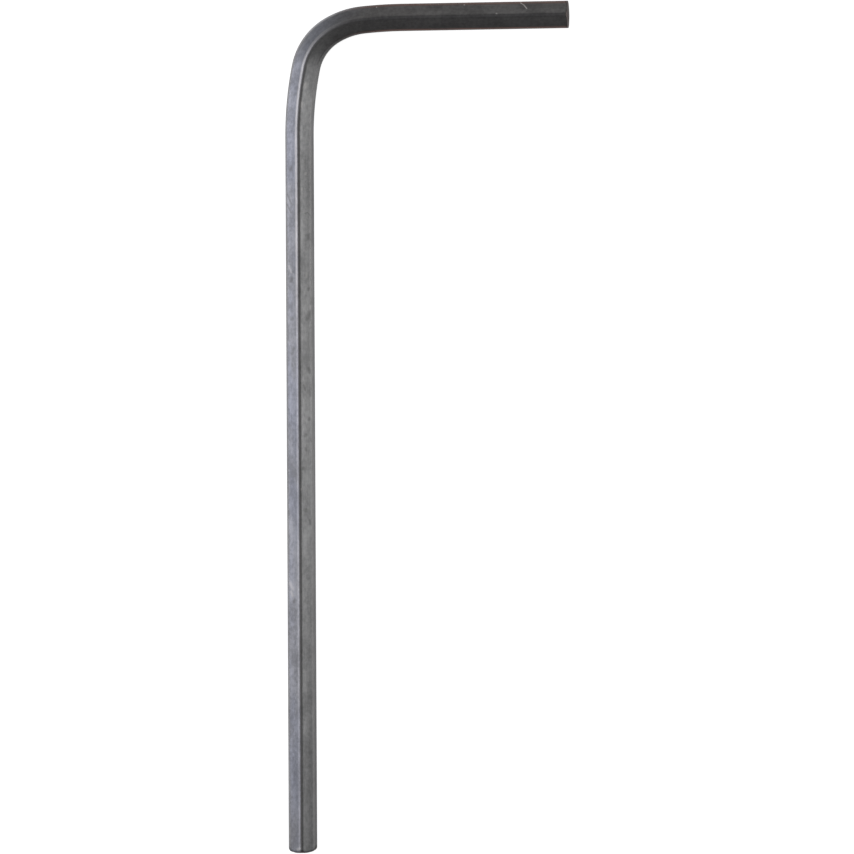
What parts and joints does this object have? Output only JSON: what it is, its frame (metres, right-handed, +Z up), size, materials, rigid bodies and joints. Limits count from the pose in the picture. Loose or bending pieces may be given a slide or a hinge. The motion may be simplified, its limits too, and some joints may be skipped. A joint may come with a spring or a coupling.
{
  "type": "hex key",
  "caption": "L-shaped hexagonal key bent from one bar of blackened steel, for turning small hexagon socket screws from either end.",
  "frame": {"origin": "middle of the key's footprint, on the surface that it lies on", "axes": "+Z up, square to the plane of the L, which is level; the long arm runs from the bend towards -Y with its tip at -Y, and the short arm runs from the bend towards +X"},
  "size_m": [0.0156, 0.0465, 0.0016],
  "materials": {
    "black_oxide": "black oxide over drawn steel, satin, worn a little paler along the long arm"
  },
  "bodies": {
    "root": {"hex_key": "black_oxide"}
  },
  "joints": []
}
